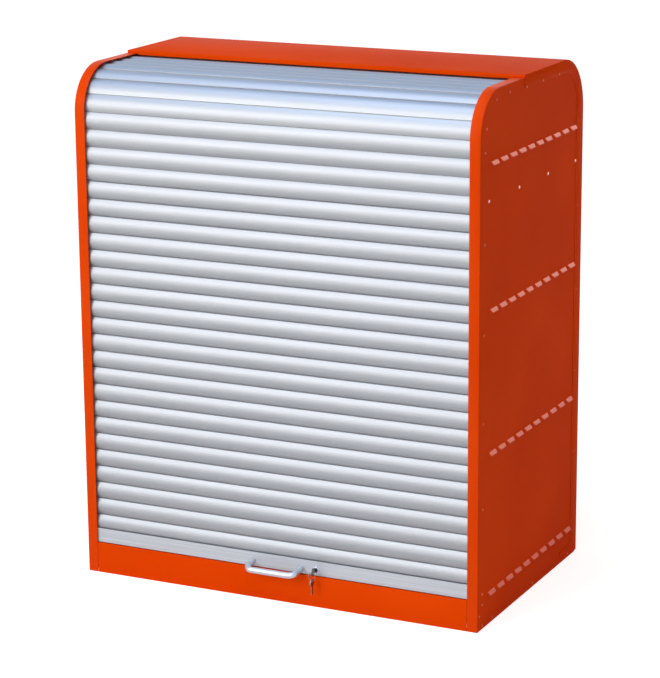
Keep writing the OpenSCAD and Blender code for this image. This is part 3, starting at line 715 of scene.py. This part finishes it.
@dataclass
class BottomBar(SubAssembly):
    """The bar that ends the shutter, with the front flange that hides its joint to the lowest slat."""

    # half length, face, thickness, foot and head of the flange
    flange: tuple[float, float, float, float, float] = (mm(493), mm(-301.2), mm(0.9), mm(75), mm(108.5))
    flange_edge_mm: float = 0.3

    def front_flange(self) -> bpy.types.Object:
        """Makes the flange.

        Returns:
            The flange, a flat strip.
        """
        half, face, thick, foot, head = self.flange
        work = bmesh.new()
        bmesh.ops.create_cube(work, size=1.0)
        mesh = mesh_from(work, "bar_front_flange")
        mesh.transform(Matrix.Translation((0, face + thick / 2, (foot + head) / 2))
                       @ Matrix.Diagonal((2 * half, thick, head - foot, 1)))
        made = stand("bar_front_flange", mesh)
        soften(made, self.flange_edge_mm)
        return paint(made, BAR)

    def dress(self) -> None:
        """Dresses the bar's nodes and adds the flange."""
        super().dress()
        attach(self.front_flange(), self.body.value)


# ---------------------------------------------------------------- studio and camera


@dataclass
class Studio:
    """A pale floor, a white surround and soft lamps."""

    floor_m: float = 60.0
    floor_drop: float = mm(0.5)
    floor_hex: str = "#F4F4F4"
    sky_strength: float = 0.22
    # sine of the height above the horizon, and the colour there
    sky_stops: tuple[tuple[float, str], ...] = ((0.5, "#FFFFFF"), (0.85, "#8CBCF8"))
    # near and far distance on the floor, and the floor's own light at each
    floor_glow: tuple[float, float, float, float] = (1.5, 9.0, 0.72, 0.86)
    # how much of that light reflections take up, near and far
    mirrored_share: tuple[float, float] = (0.2, 1.2)
    # name, place, aim, width, height, watts, colour
    lamps: tuple[tuple[str, Point, Point, float, float, float, str], ...] = (
        ("front", (-2.2, -4.6, 2.7), (0.0, 0.0, 0.6), 3.0, 3.2, 122.0, "#FFFFFF"),
        ("camera side", (1.9, -5.4, 2.3), (0.0, 0.0, 0.6), 1.6, 1.6, 34.0, "#FFFFFF"),
        ("overhead", (-0.45, -1.1, 4.2), (0.0, 0.0, 0.8), 3.0, 2.0, 60.0, "#E4EEFF"),
        ("rim", (1.74, 3.48, 2.12), (0.5, 0.0, 0.6), 1.8, 1.6, 33.0, "#FFC0AC"),
    )

    def floor(self) -> bpy.types.Object:
        """Lays the floor, whose colour reads as white to the camera but keeps the shadow.

        Returns:
            The floor.
        """
        work = bmesh.new()
        bmesh.ops.create_grid(work, x_segments=1, y_segments=1, size=self.floor_m / 2)
        mesh = mesh_from(work, "floor")
        mesh.transform(Matrix.Translation((0, 0, -self.floor_drop)))
        made = stand("floor", mesh)
        material = bpy.data.materials.new("white floor")
        material.use_nodes = True
        tree = material.node_tree
        tree.nodes.clear()
        out = add_node(tree, "ShaderNodeOutputMaterial")
        matt = add_node(tree, "ShaderNodeBsdfDiffuse", Color=linear(self.floor_hex))
        place = add_node(tree, "ShaderNodeTexCoord")
        far = add_node(tree, "ShaderNodeVectorMath", {"operation": "LENGTH"}, _0=place.outputs["Object"])
        near_m, far_m, near_glow, far_glow = self.floor_glow
        level = add_node(tree, "ShaderNodeMapRange", Value=far.outputs["Value"], From_Min=near_m, From_Max=far_m,
                         To_Min=near_glow, To_Max=far_glow)
        glow = add_node(tree, "ShaderNodeEmission", Color=WHITE, Strength=level.outputs["Result"])
        both = add_node(tree, "ShaderNodeAddShader")
        tree.links.new(matt.outputs["BSDF"], both.inputs[0])
        tree.links.new(glow.outputs["Emission"], both.inputs[1])
        path = add_node(tree, "ShaderNodeLightPath")
        near_share, far_share = self.mirrored_share
        rise = add_node(tree, "ShaderNodeMapRange", Value=far.outputs["Value"], From_Min=near_m, From_Max=far_m,
                        To_Min=near_share, To_Max=far_share)
        seen = add_node(tree, "ShaderNodeMath", {"operation": "MULTIPLY_ADD"}, _0=path.outputs["Is Glossy Ray"],
                        _1=rise.outputs["Result"], _2=path.outputs["Is Camera Ray"])
        pick = add_node(tree, "ShaderNodeMixShader", Fac=seen.outputs["Value"])
        tree.links.new(matt.outputs["BSDF"], pick.inputs[1])
        tree.links.new(both.outputs["Shader"], pick.inputs[2])
        tree.links.new(pick.outputs["Shader"], out.inputs["Surface"])
        mesh.materials.append(material)
        return made

    def sky(self) -> None:
        """Sets the surround: white where it is seen or mirrored, a plain level of light elsewhere."""
        world = bpy.data.worlds.new("white surround")
        bpy.context.scene.world = world
        world.use_nodes = True
        tree = world.node_tree
        tree.nodes.clear()
        out = add_node(tree, "ShaderNodeOutputWorld")
        path = add_node(tree, "ShaderNodeLightPath")
        facing = add_node(tree, "ShaderNodeTexCoord")
        height = add_node(tree, "ShaderNodeSeparateXYZ", Vector=facing.outputs["Generated"])
        climb = add_node(tree, "ShaderNodeValToRGB", Fac=height.outputs["Z"])
        for stop, (place, code) in zip(climb.color_ramp.elements, self.sky_stops):
            stop.position, stop.color = place, linear(code)
        white = add_node(tree, "ShaderNodeBackground", Color=climb.outputs["Color"], Strength=1.0)
        fill = add_node(tree, "ShaderNodeBackground", Color=WHITE, Strength=self.sky_strength)
        seen = add_node(tree, "ShaderNodeMath", {"operation": "MAXIMUM"}, _0=path.outputs["Is Camera Ray"],
                        _1=path.outputs["Is Glossy Ray"])
        pick = add_node(tree, "ShaderNodeMixShader", Fac=seen.outputs["Value"])
        tree.links.new(fill.outputs["Background"], pick.inputs[1])
        tree.links.new(white.outputs["Background"], pick.inputs[2])
        tree.links.new(pick.outputs["Shader"], out.inputs["Surface"])

    def light(self) -> None:
        """Hangs the lamps."""
        for name, place, aim, width, height, watts, tint in self.lamps:
            lamp = bpy.data.lights.new(name, "AREA")
            lamp.shape, lamp.size, lamp.size_y, lamp.energy = "RECTANGLE", width, height, watts
            lamp.color = linear(tint)[:3]
            made = stand(name, lamp)
            made.location = place
            made.rotation_mode = "QUATERNION"
            made.rotation_quaternion = (Vector(aim) - Vector(place)).to_track_quat("-Z", "Y")
            made.visible_camera = False

    def build(self) -> None:
        """Builds the floor, the surround and the lamps, and sets the plain view transform."""
        self.floor()
        self.sky()
        self.light()
        bpy.context.scene.view_settings.view_transform = "Standard"
        log.info("studio: %d lamps", len(self.lamps))


@dataclass
class Viewpoint:
    """The camera, where the reference view puts it."""

    place: Point = (2.5579, -5.2651, 2.0584)
    yaw_deg: float = 25.967
    pitch_deg: float = 14.461
    roll_deg: float = -0.444
    focal_px: float = 2575.3
    frame_px: tuple[int, int] = (660, 678)
    sensor_mm: float = 36.0
    clip_m: tuple[float, float] = (0.1, 200)

    def build(self) -> bpy.types.Object:
        """Makes the camera and makes it the scene's.

        Returns:
            The camera.
        """
        lens = bpy.data.cameras.new("reference view")
        lens.sensor_fit = "AUTO"
        lens.sensor_width = self.sensor_mm
        lens.lens = self.focal_px * lens.sensor_width / max(self.frame_px)
        made = stand("reference view", lens)
        yaw, pitch, roll = (math.radians(a) for a in (self.yaw_deg, self.pitch_deg, self.roll_deg))
        ahead = Vector((-math.sin(yaw) * math.cos(pitch), math.cos(yaw) * math.cos(pitch), -math.sin(pitch)))
        level = Vector((math.cos(yaw), math.sin(yaw), 0))
        up = level.cross(ahead)
        right = level * math.cos(roll) + up * math.sin(roll)
        top = up * math.cos(roll) - level * math.sin(roll)
        made.matrix_world = Matrix((right, top, -ahead)).transposed().to_4x4()
        made.location = self.place
        lens.clip_start, lens.clip_end = self.clip_m
        bpy.context.scene.camera = made
        return made


# ---------------------------------------------------------------- the cabinet


def sub_assemblies() -> list[SubAssembly]:
    """Lists the cabinet's sub-assemblies in order.

    Returns:
        The sub-assemblies.
    """
    sheets = ("side_panel_left", "side_panel_right", "edge_strip_left", "edge_strip_right", "plinth_panel",
              "top_rear_cover")
    return [
        Shell("shell", Body.CABINET,
              {**{n: ORANGE for n in sheets}, "edge_strip_left": ORANGE_FOLDED, "edge_strip_right": ORANGE_FOLDED,
               "base_floor": ORANGE_PAINTED_SHADE_INSIDE, "floor_rib": ORANGE_PAINTED_SHADE_INSIDE},
              {n: 0.5 for n in sheets[2:]}),
        SubAssembly("sump and shelving", Body.CABINET, {
            "sump_tray": GALVANISED, "sump_floor": GALVANISED, "sump_grate": GALVANISED,
            "upright_front_left": GALVANISED, "upright_front_right": GALVANISED, "upright_rear_left": GALVANISED,
            "upright_rear_right": GALVANISED, "shelf_clips_low": ZINC, "shelf_clips_high": ZINC,
            "tray_shelf_low": GALVANISED, "tray_shelf_high": GALVANISED}),
        SubAssembly("roll box", Body.CABINET, {
            "roll_box_floor": ORANGE_PAINTED_SHADE_INSIDE, "roll_box_rivets": RIVET_PAINTED_REFLECTION, "roller_bracket_left": ZINC,
            "roller_bracket_right": ZINC, "roller_bush_left": BLACK_PLASTIC, "roller_bush_right": BLACK_PLASTIC,
            "bracket_bolts": ZINC}),
        SubAssembly("roller", Body.ROLLER, {
            "roller_tube": GALVANISED, "roller_cap_left": BLACK_PLASTIC, "roller_cap_right": BLACK_PLASTIC}),
        Curtain("curtain", Body.CABINET, {
            "guide_rail_left": RAIL, "guide_rail_right": RAIL, "slats_overhead": SLAT,
            "suspension_straps": SPRING_STEEL}),
        BottomBar("bottom bar", Body.BAR, {
            "bottom_bar": BAR, "bar_seal": RUBBER, "bar_end_glides": BLACK_PLASTIC, "pull_handle": BOW,
            "handle_screws": ZINC, "lock_barrel": CHROME, "lock_nut": ZINC},
            {"bottom_bar": 0.5, "lock_barrel": 0.3, "pull_handle": 0.3}, {"pull_handle": 1.0}),
        SubAssembly("lock", Body.LOCK, {"lock_plug": PLUG_PAINTED_REFLECTION, "lock_cam": ZINC, "cam_screw": ZINC}),
        SubAssembly("key", Body.KEY, {"door_key": NICKEL_PAINTED_SHADE}),
        SubAssembly("ring", Body.RING, {"key_ring": NICKEL_PAINTED_SHADE}),
        SubAssembly("spare key", Body.SPARE, {"spare_key": NICKEL_PAINTED_SHADE}),
    ]


def main() -> None:
    """Builds the sub-assemblies, the studio and the camera, and reports each."""
    for group in sub_assemblies():
        group.dress()
    Studio().build()
    Viewpoint().build()


if __name__ == "__main__":
    main()
